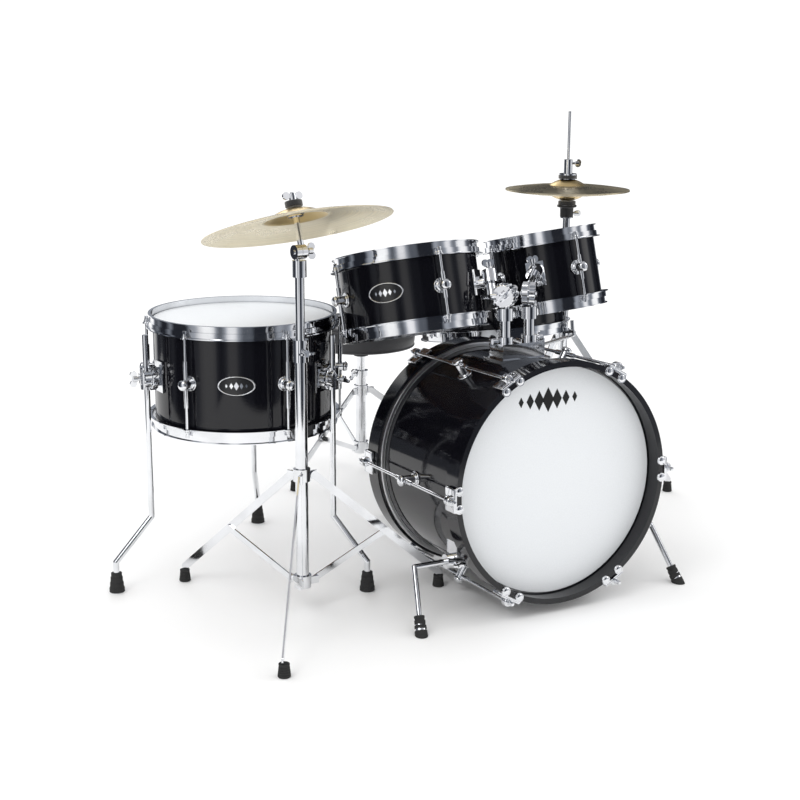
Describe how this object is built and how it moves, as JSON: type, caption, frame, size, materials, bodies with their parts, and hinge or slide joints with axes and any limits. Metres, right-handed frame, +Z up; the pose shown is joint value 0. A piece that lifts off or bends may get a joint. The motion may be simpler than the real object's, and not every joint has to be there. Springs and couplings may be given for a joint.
{
  "type": "acoustic drum kit",
  "caption": "Junior drum kit: bass drum with rack toms, floor tom, snare, crash and hi-hat on stands, throne and pedals.",
  "frame": {"origin": "on the floor, in the middle of the kit's outline", "axes": "+Z up, +Y from the audience towards the player, +X to the player's left"},
  "size_m": [1.3199, 1.2903, 0.845],
  "materials": {
    "chrome_hardware": "polished chrome plate",
    "black_wrap": "glossy black wrap over wood ply",
    "coated_head": "coated polyester film",
    "cymbal_brass": "spun and lathed brass",
    "felt": "pressed felt",
    "boot_rubber": "moulded rubber",
    "seat_cover": "vinyl cover over foam",
    "black_steel": "black powder coat",
    "cast_board": "cast aluminium",
    "wire_steel": "coiled steel wire"
  },
  "bodies": {
    "kit": {"bass_shell": "black_wrap", "bass_head_front": "coated_head", "bass_head_rear": "coated_head", "bass_hoops": "black_wrap", "bass_lugs": "chrome_hardware", "bass_claws": "chrome_hardware", "spur_brackets": "chrome_hardware", "tom_holder": "chrome_hardware", "floor_tom_shell": "black_wrap", "floor_tom_heads": "coated_head", "floor_tom_hoops": "chrome_hardware", "floor_tom_lugs": "chrome_hardware", "crash_column": "chrome_hardware", "hat_column": "chrome_hardware", "hat_seat_felt": "felt", "hat_cymbal_bottom": "cymbal_brass", "hat_frame": "black_steel", "throne_column": "chrome_hardware", "snare_column": "chrome_hardware", "stand_legs": "chrome_hardware", "stand_boots": "boot_rubber", "pedal_frame": "black_steel"},
    "spur_left": {"spur_left": "chrome_hardware"},
    "spur_right": {"spur_right": "chrome_hardware"},
    "tom_left_stem": {"tom_left_post": "chrome_hardware"},
    "tom_right_stem": {"tom_right_post": "chrome_hardware"},
    "tom_left_drum": {"tom_left_arm": "chrome_hardware", "tom_left_shell": "black_wrap", "tom_left_heads": "coated_head", "tom_left_hoops": "chrome_hardware", "tom_left_lugs": "chrome_hardware"},
    "tom_right_drum": {"tom_right_arm": "chrome_hardware", "tom_right_shell": "black_wrap", "tom_right_heads": "coated_head", "tom_right_hoops": "chrome_hardware", "tom_right_lugs": "chrome_hardware"},
    "floor_tom_leg_1": {"floor_tom_leg_1": "chrome_hardware"},
    "floor_tom_leg_2": {"floor_tom_leg_2": "chrome_hardware"},
    "floor_tom_leg_3": {"floor_tom_leg_3": "chrome_hardware"},
    "crash_mast": {"crash_upper_tube": "chrome_hardware"},
    "crash_head": {"crash_tilter": "chrome_hardware", "crash_felts": "felt"},
    "crash_plate": {"crash_cymbal": "cymbal_brass"},
    "hat_pull": {"hat_rod": "chrome_hardware", "hat_clutch": "chrome_hardware", "hat_cymbal_top": "cymbal_brass"},
    "hat_pedal": {"hat_pedal": "cast_board"},
    "throne_post": {"throne_post": "chrome_hardware"},
    "throne_top": {"throne_pan": "black_steel", "throne_seat": "seat_cover"},
    "snare_set": {"snare_basket": "chrome_hardware", "snare_shell": "black_wrap", "snare_heads": "coated_head", "snare_hoops": "chrome_hardware", "snare_lugs": "chrome_hardware", "snare_wires": "wire_steel"},
    "snare_lever": {"snare_lever": "chrome_hardware"},
    "pedal_board": {"pedal_board": "cast_board"},
    "pedal_beater": {"pedal_axle": "chrome_hardware", "pedal_beater": "felt"}
  },
  "joints": [
    {"name": "spur_left_fold", "type": "hinge", "parent": "kit", "child": "spur_left", "pos_m": [0.19947, -0.52697, 0.098], "axis": [1, 0, 0], "range_deg": [0, 110]},
    {"name": "spur_right_fold", "type": "hinge", "parent": "kit", "child": "spur_right", "pos_m": [-0.14987, -0.52697, 0.098], "axis": [1, 0, 0], "range_deg": [0, 110]},
    {"name": "tom_left_height", "type": "slide", "parent": "kit", "child": "tom_left_stem", "axis": [0, 0.0401, 0.9992], "range_m": [-0.01, 0.035]},
    {"name": "tom_left_tilt", "type": "hinge", "parent": "tom_left_stem", "child": "tom_left_drum", "pos_m": [-0.0007, -0.43745, 0.54145], "axis": [-0.8143, -0.5804, 0], "range_deg": [-1, 4]},
    {"name": "tom_right_height", "type": "slide", "parent": "kit", "child": "tom_right_stem", "axis": [0, 0.0401, 0.9992], "range_m": [-0.01, 0.035]},
    {"name": "tom_right_tilt", "type": "hinge", "parent": "tom_right_stem", "child": "tom_right_drum", "pos_m": [0.0503, -0.43745, 0.54145], "axis": [-0.7767, 0.6299, 0], "range_deg": [-12, 6]},
    {"name": "floor_tom_leg_1_slide", "type": "slide", "parent": "kit", "child": "floor_tom_leg_1", "axis": [0, 0, 1], "range_m": [-0.03, 0.1]},
    {"name": "floor_tom_leg_2_slide", "type": "slide", "parent": "kit", "child": "floor_tom_leg_2", "axis": [0, 0, 1], "range_m": [-0.03, 0.1]},
    {"name": "floor_tom_leg_3_slide", "type": "slide", "parent": "kit", "child": "floor_tom_leg_3", "axis": [0, 0, 1], "range_m": [-0.03, 0.045]},
    {"name": "crash_height", "type": "slide", "parent": "kit", "child": "crash_mast", "axis": [0, 0, 1], "range_m": [-0.02, 0.1]},
    {"name": "crash_tilt", "type": "hinge", "parent": "crash_mast", "child": "crash_head", "pos_m": [-0.3822, -0.39897, 0.636], "axis": [0.9893, 0.1461, 0], "range_deg": [-8, 25]},
    {"name": "crash_spin", "type": "hinge", "parent": "crash_head", "child": "crash_plate", "pos_m": [-0.38008, -0.37705, 0.70507], "axis": [-0.0432, 0.2925, 0.9553], "continuous": true},
    {"name": "hat_pedal_press", "type": "hinge", "parent": "kit", "child": "hat_pedal", "pos_m": [0.28193, 0.20052, 0.012], "axis": [0.6561, 0.7547, 0], "range_deg": [-6, 0]},
    {"name": "hat_rod_lift", "type": "slide", "parent": "kit", "child": "hat_pull", "axis": [0, 0, 1], "range_m": [0, 0.025], "stiffness_N_per_m": 200},
    {"name": "throne_height", "type": "slide", "parent": "kit", "child": "throne_post", "axis": [0, 0, 1], "range_m": [-0.025, 0.07]},
    {"name": "throne_spin", "type": "hinge", "parent": "throne_post", "child": "throne_top", "pos_m": [0.1198, 0.38303, 0.29], "axis": [0, 0, 1], "continuous": true},
    {"name": "snare_height", "type": "slide", "parent": "kit", "child": "snare_set", "axis": [0, 0, 1], "range_m": [-0.03, 0.04]},
    {"name": "snare_throw", "type": "hinge", "parent": "snare_set", "child": "snare_lever", "pos_m": [0.40021, 0.12005, 0.40673], "axis": [-0.572, 0.8114, -0.1204], "range_deg": [0, 75]},
    {"name": "pedal_press", "type": "hinge", "parent": "kit", "child": "pedal_board", "pos_m": [0.0248, 0.00577, 0.012], "axis": [1, 0, 0], "range_deg": [0, 4.5]},
    {"name": "beater_swing", "type": "hinge", "parent": "kit", "child": "pedal_beater", "pos_m": [0.0248, -0.22723, 0.128], "axis": [1, 0, 0], "range_deg": [0, 59], "stiffness_Nm_per_rad": 0.6}
  ],
  "couplings": [
    {"joint": "hat_rod_lift", "follows": "hat_pedal_press", "m_per_rad": -0.237},
    {"joint": "beater_swing", "follows": "pedal_press", "ratio": 13}
  ]
}
